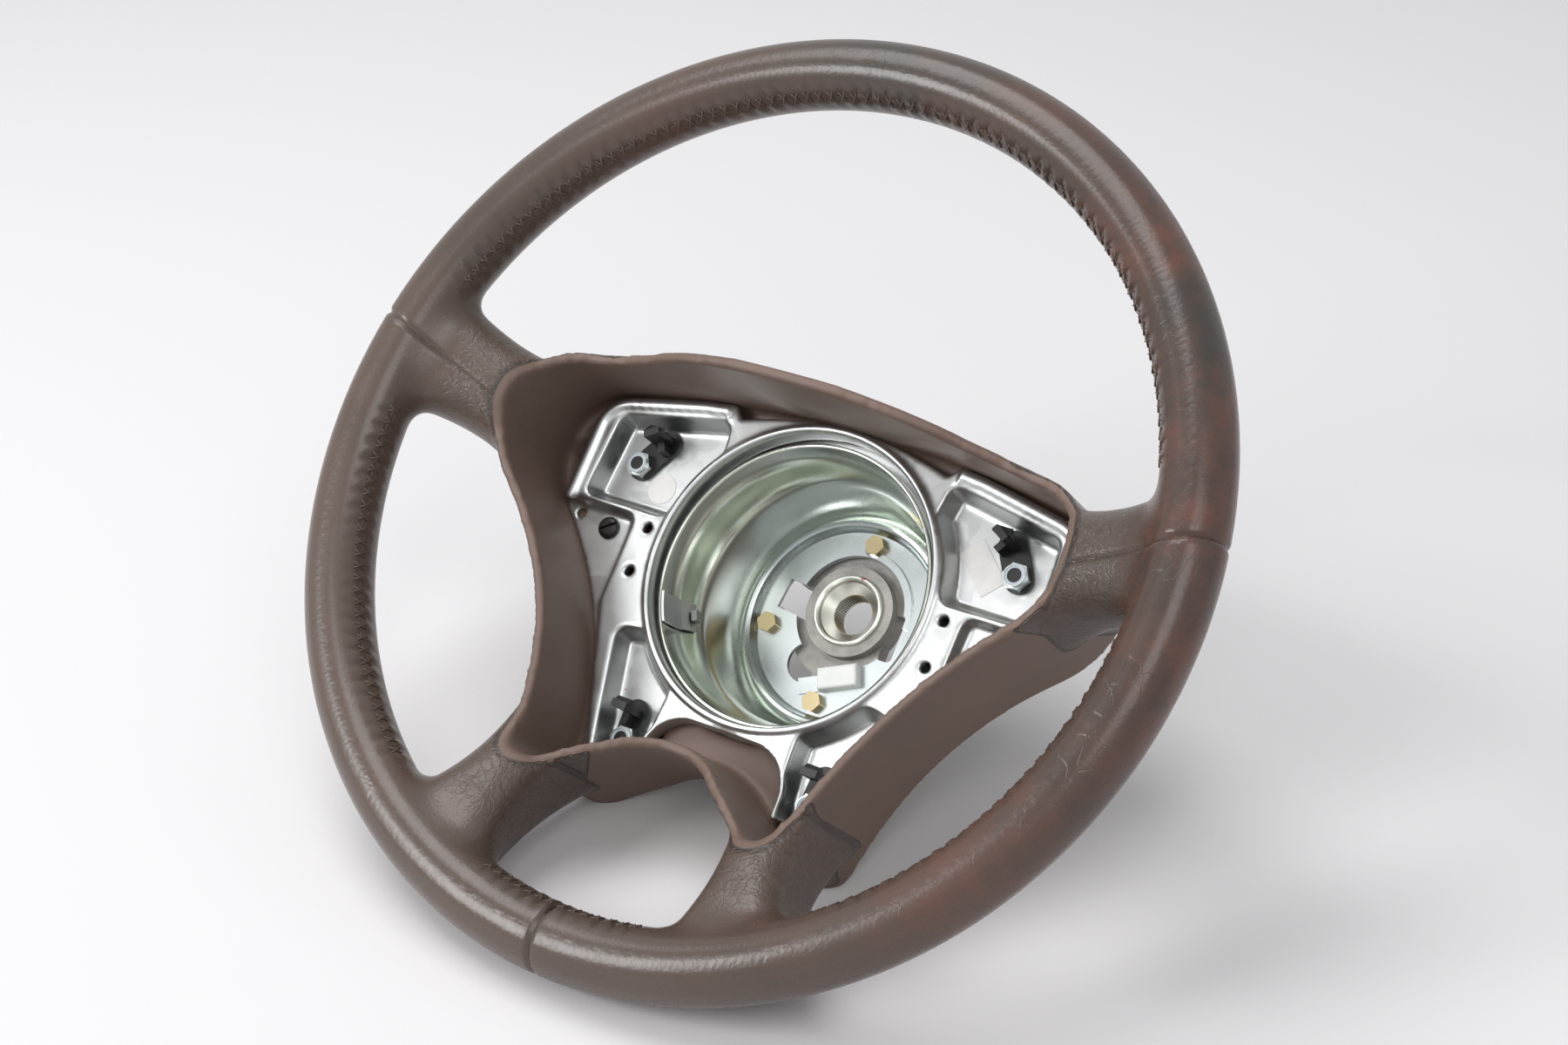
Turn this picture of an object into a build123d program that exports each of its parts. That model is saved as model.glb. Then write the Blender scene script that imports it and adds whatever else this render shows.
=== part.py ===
from build123d import *
import os

# Driving sizes in millimetres. The wheel stands upright: x to the right, z up, the driver towards -y.
# A depth is measured back from the rim plane, towards the column.

# Rim and its covering
rim_radius = 180.0
grip_width = 28.0
grip_depth = 30.0
rim_reach = 132.0
rim_rise = 9.5
leather_thickness = 1.2
seam_gap = 0.4
seam_height = -25.0
seam_slope = 0.351

# Steel armature inside the padding
core_radius = 6.0
arm_radius = 4.0
arm_seat_length = 30.0
upper_arm_bends = ((121.0, 23.5), (141.0, 27.5))
lower_arm_bends = ((57.5, -103.0), (61.0, -121.0))
arm_bend_depth = 24.0
arm_bend_radius = 12.0

# Hub skirt, half outline from the top centre round to the bottom arch
skirt_wall = 4.5
skirt_front = -12.0
skirt_back = 80.0
skirt_floor = 3.0
skirt_opening_margin = 7.2
ledge_depth = 66.5
well_margin = 1.0
top_height = 60.5
top_flare = 8.0
shoulder_x = 108.0
shoulder_z = 53.5
elbow_x = 133.0
elbow_z = 20.0
flank_top = (118.0, -8.0)
flank_bottom = (71.0, -82.0)
foot_outer = (66.0, -104.0)
foot_inner = (46.0, -112.0)
arch_foot = (24.0, -97.0)
arch_height = -88.3
flank_waist = -40.0

# Depth of the skirt's lip at points round the hub
lip_top = -5.0
lip_shoulder = 22.0
lip_upper_spoke = 9.0
lip_flank = 22.0
lip_lower_spoke = 13.0
lip_arch = 29.0

# Spokes: centre in front view, width across, front and back depth
upper_spoke = (
    ((120.0, 23.0), 48.0, 10.0, 72.0),
    ((147.0, 29.0), 42.0, 2.0, 44.0),
    ((176.0, 34.0), 58.0, -8.0, 11.0),
)
lower_spoke = (
    ((55.0, -97.0), 34.0, 13.0, 76.0),
    ((60.5, -121.0), 31.0, 3.0, 50.0),
    ((69.0, -154.0), 58.0, -8.0, 11.0),
)
spoke_rounding = 0.42

# Carrier plate
plate_depth = 58.5
sheet = 2.0
plate_clearance = 0.5
plate_half_width = 117.0
plate_top = 61.3
notch = (49.5, 53.7)
ear_top_inner = (55.0, 59.7)
ear_top_outer = (104.0, 50.0)
ear_corner_radius = 16.0
leg_end = -97.0
plate_arch_half_width = 33.0
plate_arch_height = -71.5
plate_arch_radius = 18.0
arch_flange = 7.5
hole_radius = 62.0
hole_rim = 2.6
hole_drop = 4.1
collar_depth = 7.5
collar_roll = 1.6
pocket_depth = 9.5
pocket_draft = 3.5
pocket_corner = 5.0
flank_step_depth = 5.0
flank_step_draft = 2.5
bead_inset = 1.2
bead_width = 4.0
bead_height = 1.8
plate_hole_radius = 2.2
plate_holes = ((71.5, -2.1), (71.5, -21.6), (108.6, -3.4))
ear_pocket = ((53.0, 52.0), (106.0, 42.0), (108.5, 4.0), (68.0, 4.0), (50.0, 28.0))
leg_pocket = ((67.0, -45.0), (46.0, -41.0), (31.0, -62.0), (32.0, -80.0), (36.0, -102.0), (53.0, -102.0))
flank_step = ((125.0, 2.5), (79.0, 2.5), (79.0, -37.0), (54.0, -103.0), (125.0, -103.0))

# Absorber pot, its flange ring and the base ring
pot_drop = 5.5
pot_sheet = 1.5
pot_rim_radius = 58.8
pot_rim_depth = 63.0
pot_floor_radius = 47.0
pot_floor_setback = 11.0
pot_floor_opening = 29.5
flange_radius = 78.0
flange_lip = 7.0
base_radius = 46.0
base_sheet = 2.0
base_bead_width = 4.0
base_bead_height = 4.5
base_opening_radius = 25.0
base_lip_radius = 28.0
base_lip_height = 1.2
window_size = (14.0, 13.5)
window_place = (-26.5, -1.0)
window_tilt = -6.0
lobe_radius = 9.0
lobe_place = (-10.5, -26.0)
slot_size = (8.0, 21.0)
slot_place = (22.0, -5.0)

# Hub casting, boss and bolts
casting_depth = 8.0
casting_radius = 30.0
casting_arm_width = 16.0
collar_radius = 20.0
collar_length = 15.0
boss_radius = 15.5
boss_length = 17.0
bore_radius = 9.0
bore_mouth_radius = 13.5
bore_mouth_depth = 7.0
bolt_circle = 35.8
bolt_angles = (90.0, 195.5, 270.0, 344.5)
bolt_radius = 2.5
bolt_head_flats = 8.0
bolt_head_height = 3.5
bolt_length = 9.0
hole_clearance = 0.2

# Pad nuts, studs and clips
upper_nut = (91.0, 23.7)
lower_nut = (45.3, -87.5)
stud_radius = 3.0
nut_flats = 10.0
nut_height = 3.6
nut_crown_radius = 4.6
nut_crown_height = 1.4
stud_recess = 0.8
clip_base = 2.0
clip_width = 12.0
upper_clip_reach = (-7.5, 12.3)
lower_clip_reach = (0.5, 12.0)
clip_post_height = 17.0
clip_post_width = 7.0
clip_post_thickness = 3.0
clip_hook = 3.5

# Small pieces
screw_place = (92.0, -6.3)
screw_head_radius = 4.8
screw_head_height = 2.6
screw_shank_radius = 2.4
screw_slot = 1.2
strap_angle = 212.0
strap_sweep = 13.0
strap_sheet = 1.0
strap_gap = 0.3
strap_end_depth = 90.0
strap_clip_size = (4.5, 4.5, 2.5)
terminal_size = (11.0, 7.0, 0.8)
terminal_place = (-4.5, -34.5)
sleeve_size = (18.0, 9.5, 4.8)
sleeve_place = (7.5, -28.0)
terminal_turn = 24.0
sticker_radius = 6.6
sticker_place = (-78.3, 17.2)
label_size = (21.0, 11.5)
label_place = (74.4, 24.0)
label_turn = -43.0
paper = 0.25

# Depths and radii that follow from the sizes above
pot_floor_depth = rim_reach - pot_floor_setback
collar_front = rim_reach - collar_length
boss_front = rim_reach - boss_length
through_depth = rim_reach + skirt_back
skirt_opening_radius = pot_rim_radius + skirt_opening_margin


def depth_plane(depth):
    """Front-view sketch plane at a depth behind the rim plane."""
    return Plane((0, depth - rim_reach, 0), x_dir=(1, 0, 0), z_dir=(0, -1, 0))


def prism(sketch, front, back):
    """Straight solid between two depths from a front-view sketch."""
    return extrude(depth_plane(back) * sketch, back - front)


def tapered(sketch, front, back, draft):
    """Solid that narrows by a draft between two depths, as a pressed pocket does."""
    return loft([depth_plane(front) * sketch, depth_plane(back) * offset(sketch, -draft)])


def turned(profile, drop=0.0):
    """Solid of revolution about the column, from corners given as radius and depth."""
    corners = [(radius, depth - rim_reach) for radius, depth in profile]
    return Pos(0, 0, -drop) * revolve(make_face(Polyline(*corners, close=True)), Axis.Y)


def disc(radius, front, back, place=(0.0, 0.0)):
    """Cylinder along the column between two depths."""
    return prism(Pos(*place) * Circle(radius), front, back)


def both_sides(build):
    """One piece made for the right side and again for the left."""
    right = build()
    return [right, mirror(right, Plane.YZ)]


def rounded(points, radius):
    """Face through the points with every corner rounded."""
    face = make_face(Polyline(*points, close=True))
    return fillet(face.vertices(), radius)


def joined(pieces):
    """All pieces fused into one."""
    whole = pieces[0]
    for piece in pieces[1:]:
        whole = whole + piece
    return whole


def pocket_floor():
    """Depth of the pockets' front face."""
    return plate_depth + pocket_depth


# Rim


def rim_ring(half_width, half_depth):
    """Ring of oval section round the rim's centre line."""
    section = Pos(rim_radius, -rim_reach) * Ellipse(half_width, half_depth)
    return Pos(0, 0, rim_rise) * revolve(Plane.XY * section, Axis.Y)


def spoke(stations, shrink):
    """One right-hand spoke, lofted through rounded stations and drawn in by a margin."""
    direction = Vector(*stations[-1][0]) - Vector(*stations[0][0])
    normal = Vector(direction.X, 0, direction.Y).normalized()
    across = Vector(normal.Z, 0, -normal.X)
    sections = []
    for (x, z), width, front, back in stations:
        centre = (x, (front + back) / 2 - rim_reach, z)
        plane = Plane(centre, x_dir=across, z_dir=normal)
        wide, deep = width - 2 * shrink, back - front - 2 * shrink
        sections.append(plane * RectangleRounded(wide, deep, spoke_rounding * min(wide, deep)))
    return loft(sections)


def spokes(shrink):
    """All four spokes."""
    pairs = [both_sides(lambda: spoke(stations, shrink)) for stations in (upper_spoke, lower_spoke)]
    return pairs[0] + pairs[1]


def skirt_outline(flare):
    """Outer outline of the hub skirt, a chain of tangent arcs, with its top raised by the flare."""
    shoulder = (shoulder_x, shoulder_z + flare / 3)
    top = ThreePointArc((-shoulder[0], shoulder[1]), (0, top_height + flare), shoulder)
    chain = [top]
    for point in ((elbow_x, elbow_z), flank_top, flank_bottom, foot_outer, foot_inner, arch_foot):
        chain.append(TangentArc(chain[-1] @ 1, point, tangent=chain[-1] % 1))
    arch = ThreePointArc(arch_foot, (0, arch_height), (-arch_foot[0], arch_foot[1]))
    mirrored = [mirror(line, Plane.YZ) for line in chain[1:]]
    return make_face(chain + [arch] + mirrored)


def skirt_block(inset):
    """The skirt's solid form, drawn in by an inset."""
    front = skirt_outline(0)
    back = skirt_outline(top_flare)
    if inset:
        front = offset(front, -inset)
        back = offset(back, -inset)
    return loft([depth_plane(skirt_front) * front, depth_plane(skirt_back) * back], ruled=True)


def lip_cutter():
    """Everything in front of the skirt's lip, which dips between the spokes."""
    reach = elbow_x + skirt_wall
    front = skirt_front - 1
    top_line = Spline(
        (0, lip_top), (shoulder_x * 0.42, lip_top + 5),
        (shoulder_x * 0.9, lip_shoulder), (reach, lip_upper_spoke),
        tangents=((1, 0), (1, -0.6)),
    )
    arch_line = Spline(
        (0, lip_arch), (arch_foot[0] * 0.8, lip_arch - 5.5), (foot_outer[0], lip_lower_spoke),
        tangents=((1, 0), (1, 0)),
    )
    spoke_z = elbow_z + 2
    flank_line = Spline(
        (spoke_z, lip_upper_spoke), (flank_waist, lip_flank), (foot_inner[1] - skirt_wall, lip_lower_spoke),
        tangents=((-1, 0.3), (-1, -0.2)),
    )

    def half_cut(line, end, low, high):
        """Cut seen from above, on the right half."""
        outline = line + Polyline((end, line.position_at(1).Y), (end, front), (0, front), line.position_at(0))
        face = Pos(0, -rim_reach, low) * make_face(outline)
        return extrude(face, high - low)

    top_cut = half_cut(top_line, reach, elbow_z + 2, top_height + top_flare + skirt_wall)
    arch_cut = half_cut(arch_line, foot_outer[0], foot_inner[1] - skirt_wall, arch_height + skirt_wall + 2)
    flank_face = flank_line + Polyline(
        flank_line.position_at(1), (foot_inner[1] - skirt_wall, front),
        (spoke_z, front), flank_line.position_at(0),
    )
    side = Plane((0, -rim_reach, 0), x_dir=(0, 0, 1), z_dir=(1, 0, 0))
    flank_cut = extrude(side * make_face(mirror(flank_face, Plane.XZ)), reach)
    right = top_cut + arch_cut + flank_cut
    return right + mirror(right, Plane.YZ)


def arm(foot, bends, end):
    """Round steel arm from the back of a pocket through a spoke to the rim ring."""
    seat = pocket_floor() + sheet + arm_radius - rim_reach
    (root_x, root_z), (bend_x, bend_z) = bends
    corners = [
        (foot[0], seat, foot[1]), (root_x, seat, root_z),
        (bend_x, arm_bend_depth - rim_reach, bend_z), (end[0], -rim_reach, end[1]),
    ]
    path = FilletPolyline(*corners, radius=arm_bend_radius)
    return sweep(Plane(path @ 0, z_dir=path % 0) * Circle(arm_radius), path=path)


def well_outline():
    """Front-view outline of the room that the plate's pockets and the pot need behind the ledge."""
    ring = Pos(0, -pot_drop) * Circle(flange_radius + well_margin)
    well = ring & offset(plate_outline()[0], -2 * well_margin)
    well = well + Pos(0, -pot_drop) * Circle(skirt_opening_radius)
    for pocket in pocket_outlines()[0]:
        grown = offset(pocket, well_margin)
        well = well + grown + mirror(grown, Plane.YZ)
    return well


def half_armature():
    """Right half of the steel ring with its two arms."""
    section = Pos(rim_radius, -rim_reach) * Circle(core_radius)
    ring = Pos(0, 0, rim_rise) * Rot(0, -90, 0) * revolve(Plane.XY * section, Axis.Y, 180)
    upper_foot = (upper_arm_bends[0][0] - arm_seat_length, upper_arm_bends[0][1])
    lower_foot = (lower_arm_bends[0][0] - arm_seat_length * 0.3, lower_arm_bends[0][1] + arm_seat_length)
    upper = arm(upper_foot, upper_arm_bends, upper_spoke[2][0])
    lower = arm(lower_foot, lower_arm_bends, lower_spoke[2][0])
    return ring + upper + lower


def padded_body():
    """Foam moulding: rim, four spokes and the hub skirt, open in front and round behind."""
    far = 2.2 * rim_radius
    cavity = skirt_block(skirt_wall) - prism(Rectangle(far, far), ledge_depth, skirt_back + 1)
    well = prism(well_outline(), ledge_depth - 1, skirt_back - skirt_floor)
    opening = disc(skirt_opening_radius, ledge_depth, skirt_back + 1, (0, -pot_drop))
    skirt = skirt_block(0) - lip_cutter()
    rim = rim_ring(grip_width / 2 - leather_thickness, grip_depth / 2 - leather_thickness)
    whole = joined([rim, skirt] + spokes(leather_thickness)) - cavity - well - opening
    right = whole & prism(Pos(far / 2, 0) * Rectangle(far, 2 * far), -grip_depth, skirt_back + 1)
    right = right - half_armature()
    return right.fuse(mirror(right, Plane.YZ))


def leather_covers():
    """Three sewn covers: over the top, and down each side to six o'clock."""
    outside = joined([rim_ring(grip_width / 2, grip_depth / 2)] + spokes(0))
    inside = joined([rim_ring(grip_width / 2 - leather_thickness, grip_depth / 2 - leather_thickness)]
                    + spokes(leather_thickness))
    cover = outside - inside - skirt_block(0)
    far = 2.2 * rim_radius
    apex = (0, seam_height)
    seam_end = seam_height + seam_slope * far
    upper = Polyline(apex, (far, seam_end), (far, far), (-far, far), (-far, seam_end), close=True)
    right = Polyline(apex, (far, seam_end), (far, -far), (0, -far), close=True)
    panels = []
    for outline in (upper, right):
        wedge = offset(make_face(outline), -seam_gap / 2, kind=Kind.INTERSECTION)
        panels.append(cover & prism(wedge, -grip_depth, skirt_back))
    return panels + [mirror(panels[1], Plane.YZ)]


# Carrier plate


def plate_outline():
    """Outline of the pressed plate, with two ears and two legs, and the arch between the legs."""
    inside = offset(skirt_outline(top_flare * 0.75), -(skirt_wall + plate_clearance))
    ear_side = [
        notch, ear_top_inner, ear_top_outer, (plate_half_width, ear_top_outer[1] - 4),
        (plate_half_width, leg_end), (0, leg_end), (0, notch[1]),
    ]
    ear = make_face(Polyline(*ear_side, close=True))
    ear = fillet(ear.vertices().group_by(Axis.X)[-1].sort_by(Axis.Y)[-1], ear_corner_radius)
    crown = ThreePointArc((-notch[0], notch[1]), (0, plate_top), notch)
    crown = make_face([crown, Line(notch, (-notch[0], notch[1]))])
    outline = inside & (ear + mirror(ear, Plane.YZ) + crown)
    arch = rounded(
        [(-plate_arch_half_width, leg_end - 30), (plate_arch_half_width, leg_end - 30),
         (plate_arch_half_width, plate_arch_height), (-plate_arch_half_width, plate_arch_height)],
        plate_arch_radius,
    )
    return outline - arch, arch


def softened(face, radius):
    """The same face with its outward corners rounded."""
    return offset(offset(face, -radius), radius)


def pocket_outlines():
    """Front-view outlines of the right ear pocket, the right leg pocket and the stepped flank."""
    keep_off = Pos(0, -hole_drop) * Circle(hole_radius + hole_rim + collar_roll)
    ear, leg, flank = (make_face(Polyline(*points, close=True)) for points in (ear_pocket, leg_pocket, flank_step))
    pockets = [softened(pocket - keep_off, pocket_corner) for pocket in (ear, leg)]
    return pockets, softened(flank, pocket_corner)


def plate_form(outline, front):
    """Solid whose front face carries the plate's pockets and steps."""
    deep = front + 40
    form = prism(outline, front, deep)
    pockets, flank = pocket_outlines()
    cuts = []
    for face in pockets:
        cuts += both_sides(lambda: tapered(face, front - 0.01, front + pocket_depth, pocket_draft))
    cuts += both_sides(lambda: tapered(flank, front - 0.01, front + flank_step_depth, flank_step_draft))
    return form - cuts


def carrier_plate():
    """Pressed steel plate with pockets, stepped flanks, beads, holes and a collared centre hole."""
    outline, arch = plate_outline()
    wider = offset(outline, 2)
    pressed = plate_form(outline, plate_depth) - plate_form(wider, plate_depth + sheet)
    centre = (0, -hole_drop)
    pressed = pressed - disc(hole_radius + hole_rim, 0, through_depth, centre)
    crown = plate_depth - collar_roll
    collar = turned([
        (hole_radius, crown + collar_roll), (hole_radius + 0.6, crown + 0.5),
        (hole_radius + collar_roll, crown), (hole_radius + hole_rim - 0.4, crown),
        (hole_radius + hole_rim + 1, plate_depth + 0.4),
        (hole_radius + hole_rim + 1, plate_depth + sheet), (hole_radius + sheet, plate_depth + sheet),
        (hole_radius + sheet, plate_depth + collar_depth), (hole_radius, plate_depth + collar_depth),
    ], hole_drop)
    flange = prism(offset(arch, sheet) - arch, plate_depth, plate_depth + arch_flange)
    flange = flange & prism(outline + offset(arch, sheet), plate_depth, plate_depth + arch_flange)
    keep = prism(Rectangle(2 * plate_half_width, -2 * leg_end), 0, through_depth)
    upper = Pos(0, plate_top) * Rectangle(2 * plate_half_width, 2 * plate_top)
    ears = upper - Pos(0, plate_top) * Rectangle(2 * ear_top_inner[0], 3 * plate_top)
    bead = []
    for level in (0, 1):
        inset = bead_inset + level * bead_width / 5
        rim = offset(outline, -inset) - offset(outline, -(2 * bead_inset + bead_width - inset))
        crest = plate_depth - (level + 1) * bead_height / 2
        bead.append(prism(rim & ears, crest, crest + bead_height / 2))
    plate = joined([pressed, collar, flange & keep] + bead)
    drilled = []
    for side in (1, -1):
        drilled += [disc(plate_hole_radius, 0, through_depth, (side * x, z)) for x, z in plate_holes]
        drilled.append(disc(screw_shank_radius, 0, through_depth, (side * screw_place[0], screw_place[1])))
    return plate - drilled


# Absorber pot and base


def pot_wall():
    """Inside corners of the pot's wall, from its rim to its floor."""
    drop = pot_floor_depth - pot_rim_depth
    step = pot_rim_radius - pot_floor_radius
    return [
        (pot_rim_radius, pot_rim_depth),
        (pot_rim_radius - 0.06 * step, pot_rim_depth + 0.18 * drop),
        (pot_rim_radius - 0.12 * step, pot_rim_depth + 0.23 * drop),
        (pot_rim_radius - 0.30 * step, pot_rim_depth + 0.29 * drop),
        (pot_rim_radius - 0.38 * step, pot_rim_depth + 0.36 * drop),
        (pot_rim_radius - 0.45 * step, pot_rim_depth + 0.52 * drop),
        (pot_rim_radius - 0.62 * step, pot_rim_depth + 0.58 * drop),
        (pot_rim_radius - 0.70 * step, pot_rim_depth + 0.64 * drop),
        (pot_floor_radius + 0.08 * step, pot_floor_depth - 0.10 * drop),
        (pot_floor_radius, pot_floor_depth - 0.03 * drop),
        (pot_floor_radius, pot_floor_depth),
    ]


def bolt_places():
    """Front-view centres of the base bolts, round the pot's axis."""
    return [(Vector(bolt_circle, 0).rotate(Axis.Z, angle) - Vector(0, pot_drop)) for angle in bolt_angles]


def bolt_holes():
    """Clearance holes for the base bolts."""
    return [disc(bolt_radius + hole_clearance, 0, through_depth, (p.X, p.Y)) for p in bolt_places()]


def hub_openings():
    """Window, lobe and slot that run through the base beside the boss."""
    window = Pos(*window_place) * Rot(0, 0, window_tilt) * Rectangle(*window_size)
    lobe = Pos(*lobe_place) * Circle(lobe_radius)
    slot = Pos(*slot_place) * RectangleRounded(*slot_size, slot_size[0] * 0.3)
    return window, lobe, slot


def absorber_pot():
    """Deep-drawn pot with stepped walls and an open floor."""
    inside = pot_wall()
    floor = pot_floor_depth + pot_sheet
    outside = [(radius + pot_sheet, depth) for radius, depth in inside[:-1]]
    outside.append((pot_floor_radius + pot_sheet, floor))
    profile = inside + [(pot_floor_opening, pot_floor_depth), (pot_floor_opening, floor)] + outside[::-1]
    window = prism(hub_openings()[0], pot_floor_depth - pot_sheet, through_depth)
    return turned(profile, pot_drop) - window - bolt_holes()


def pot_flange():
    """Angle ring that carries the pot, with lugs that lie on the back of the plate's pockets."""
    seat = pocket_floor() + sheet
    neck = pot_rim_radius + pot_sheet
    bend = neck + pot_sheet
    ring = turned([
        (neck, seat), (flange_radius, seat), (flange_radius, seat + pot_sheet),
        (bend, seat + pot_sheet), (bend, seat + flange_lip), (neck, seat + flange_lip),
    ], pot_drop)
    lugs = offset(plate_outline()[0], -3 * well_margin) + Pos(0, -pot_drop) * Circle(bend + pot_sheet)
    return ring & prism(lugs, seat, through_depth)


def base_ring():
    """Plated ring on the pot's floor, with a beaded edge and a scalloped opening."""
    face = pot_floor_depth - base_sheet
    crest = face - base_bead_height
    ring = turned([
        (base_opening_radius - 8, face), (base_radius - base_bead_width - 1, face),
        (base_radius - base_bead_width, face - 1.5), (base_radius - base_bead_width + 1, crest + 0.6),
        (base_radius - 2.2, crest), (base_radius - 0.8, crest + 0.6), (base_radius, crest + 2),
        (base_radius, pot_floor_depth), (base_opening_radius - 8, pot_floor_depth),
    ], pot_drop)
    upper_half = Pos(0, base_lip_radius / 2) * Rectangle(2 * base_lip_radius, base_lip_radius)
    lip = prism(Circle(base_lip_radius) & upper_half, face - base_lip_height, face)
    opening = disc(base_opening_radius, 0, through_depth)
    cuts = [prism(sketch, 0, through_depth) for sketch in hub_openings()]
    heads = [disc(bolt_head_flats * 0.65, 0, face, (p.X, p.Y)) for p in bolt_places()]
    return ring + (lip - heads) - opening - cuts - bolt_holes()


# Hub


def hub_casting():
    """Grey casting behind the base, with an arm to each bolt and a collar round the boss."""
    front = pot_floor_depth + pot_sheet
    back = front + casting_depth
    web = Circle(casting_radius)
    for place in bolt_places():
        foot = Pos(place.X, place.Y) * Circle(casting_arm_width / 2)
        web = web + make_hull(foot.edges() + Circle(casting_arm_width / 2).edges())
    window, lobe, slot = hub_openings()
    body = prism(web - window - slot, front, back)
    body = body + disc(collar_radius, collar_front, back)
    taps = [disc(bolt_radius, 0, front + bolt_length, (p.X, p.Y)) for p in bolt_places()]
    return body - disc(boss_radius, 0, through_depth) - taps


def splined_boss():
    """Machined boss with a tapered mouth and the column bore."""
    return turned([
        (bore_mouth_radius, boss_front + 0.8), (bore_mouth_radius + 0.8, boss_front),
        (boss_radius - 0.6, boss_front), (boss_radius, boss_front + 0.6),
        (boss_radius, rim_reach), (bore_radius, rim_reach),
        (bore_radius, boss_front + bore_mouth_depth), (bore_mouth_radius - 0.6, boss_front + 2.4),
    ])


def base_bolts():
    """Four hexagon bolts through the base ring and pot into the casting."""
    seat = pot_floor_depth - base_sheet
    bolts = []
    for place in bolt_places():
        head = RegularPolygon(bolt_head_flats / 2, 6, major_radius=False)
        dome = prism(Pos(place.X, place.Y) * head, seat - bolt_head_height, seat)
        dome = dome & disc(bolt_head_flats * 0.56, seat - bolt_head_height, seat, (place.X, place.Y))
        shank = disc(bolt_radius, seat, pot_floor_depth + pot_sheet + bolt_length, (place.X, place.Y))
        bolts.append(dome + shank)
    return bolts


# Fasteners and clips


def nut_places():
    """Front-view centres of the four pad nuts."""
    return [(side * x, z) for x, z in (upper_nut, lower_nut) for side in (-1, 1)]


def nut_seat():
    """Depth of the face under each nut."""
    return pocket_floor() - clip_base


def pad_studs():
    """Studs welded into the pockets."""
    tip = nut_seat() - nut_height - nut_crown_height + stud_recess
    return [disc(stud_radius, tip, pocket_floor(), place) for place in nut_places()]


def pad_nuts():
    """Hexagon lock nuts with a crown for the nylon ring."""
    nuts = []
    for place in nut_places():
        seat = nut_seat()
        outline = Pos(*place) * RegularPolygon(nut_flats / 2, 6, major_radius=False)
        hexagon = prism(outline, seat - nut_height, seat)
        crown = disc(nut_crown_radius, seat - nut_height - nut_crown_height, seat - nut_height, place)
        pocket = disc(nut_crown_radius - 0.6, seat - nut_height - nut_crown_height, seat - nut_height, place)
        nuts.append(hexagon + crown - pocket - disc(stud_radius, 0, through_depth, place))
    return nuts


def nut_inserts():
    """Nylon rings in the crowns of the nuts."""
    rings = []
    for place in nut_places():
        back = nut_seat() - nut_height
        ring = disc(nut_crown_radius - 0.6, back - nut_crown_height + 0.3, back, place)
        rings.append(ring - disc(stud_radius, 0, through_depth, place))
    return rings


def pad_clip(nut, reach, side):
    """Moulded clip: a long foot under the nut and a hooked post beside it."""
    floor = pocket_floor()
    tip = (nut[0] + reach[0], nut[1] + reach[1])
    ends = [Pos(*place) * Circle(clip_width / 2) for place in (nut, tip)]
    foot = make_hull(ends[0].edges() + ends[1].edges())
    base = prism(foot, floor - clip_base, floor)
    turn = Vector(*reach).get_signed_angle(Vector(0, 1)) * -1
    local = Pos(*tip) * Rot(0, 0, turn)
    post = prism(local * Rectangle(clip_post_width, clip_post_thickness), floor - clip_post_height, floor)
    hook_profile = make_face(Polyline(
        (0, 0), (clip_hook, clip_hook * 0.9), (0, clip_hook * 2.2), close=True))
    stand = Plane((tip[0], floor - clip_post_height - rim_reach, tip[1]), x_dir=(0, 0, 1), z_dir=(1, 0, 0))
    hook = extrude(stand * mirror(hook_profile, Plane.XZ), clip_post_width / 2, both=True)
    rib = prism(local * Pos(0, -clip_width / 4) * Rectangle(clip_post_thickness, clip_width / 2),
                floor - clip_post_height * 0.5, floor)
    clip = base + post + hook + rib - disc(stud_radius, 0, through_depth, nut)
    return clip if side > 0 else mirror(clip, Plane.YZ)


def plate_screws():
    """Two slotted dome-headed screws in the stepped flanks."""
    seat = plate_depth + flank_step_depth
    screws = []
    for side in (-1, 1):
        place = (side * screw_place[0], screw_place[1])
        head = disc(screw_head_radius, seat - screw_head_height, seat, place)
        head = fillet(head.edges().sort_by(Axis.Y)[0], screw_head_height * 0.8)
        slot = prism(Pos(*place) * Rot(0, 0, 35) * Rectangle(2 * screw_head_radius, screw_slot),
                     seat - screw_head_height, seat - screw_head_height * 0.5)
        shank = disc(screw_shank_radius, seat, ledge_depth - hole_clearance, place)
        screws.append(head - slot + shank)
    return screws


def strap():
    """Bent sheet strap that lies down the pot's wall."""
    wall = [point for point in pot_wall() if point[1] < strap_end_depth]
    front = [(radius - strap_gap, depth) for radius, depth in wall]
    back = [(radius - strap_gap - strap_sheet, depth) for radius, depth in wall[::-1]]
    corners = [(radius, depth - rim_reach) for radius, depth in front + back]
    sheet_strip = revolve(make_face(Polyline(*corners, close=True)), Axis.Y, strap_sweep)
    return Pos(0, 0, -pot_drop) * Rot(0, -strap_angle, 0) * sheet_strip


def strap_clip(strip):
    """Small square clip at the strap's end."""
    end = strip.faces().sort_by(Axis.Y)[-1].center()
    inward = Vector(-end.X, 0, -pot_drop - end.Z).normalized()
    place = Plane(end + inward * strap_sheet / 2, x_dir=(0, 1, 0), z_dir=inward)
    block = Box(*strap_clip_size, align=(Align.CENTER, Align.CENTER, Align.MIN))
    return place * Pos(-strap_clip_size[0] / 2, 0) * block


def flat_block(size, place, turn, seat):
    """Small block lying on a face that looks at the driver."""
    outline = Pos(*place) * Rot(0, 0, turn) * Rectangle(size[0], size[1])
    return prism(outline, seat - size[2], seat)


def terminal():
    """Flat terminal beside the lower bolt."""
    return flat_block(terminal_size, terminal_place, terminal_turn, pot_floor_depth - base_sheet)


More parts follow.
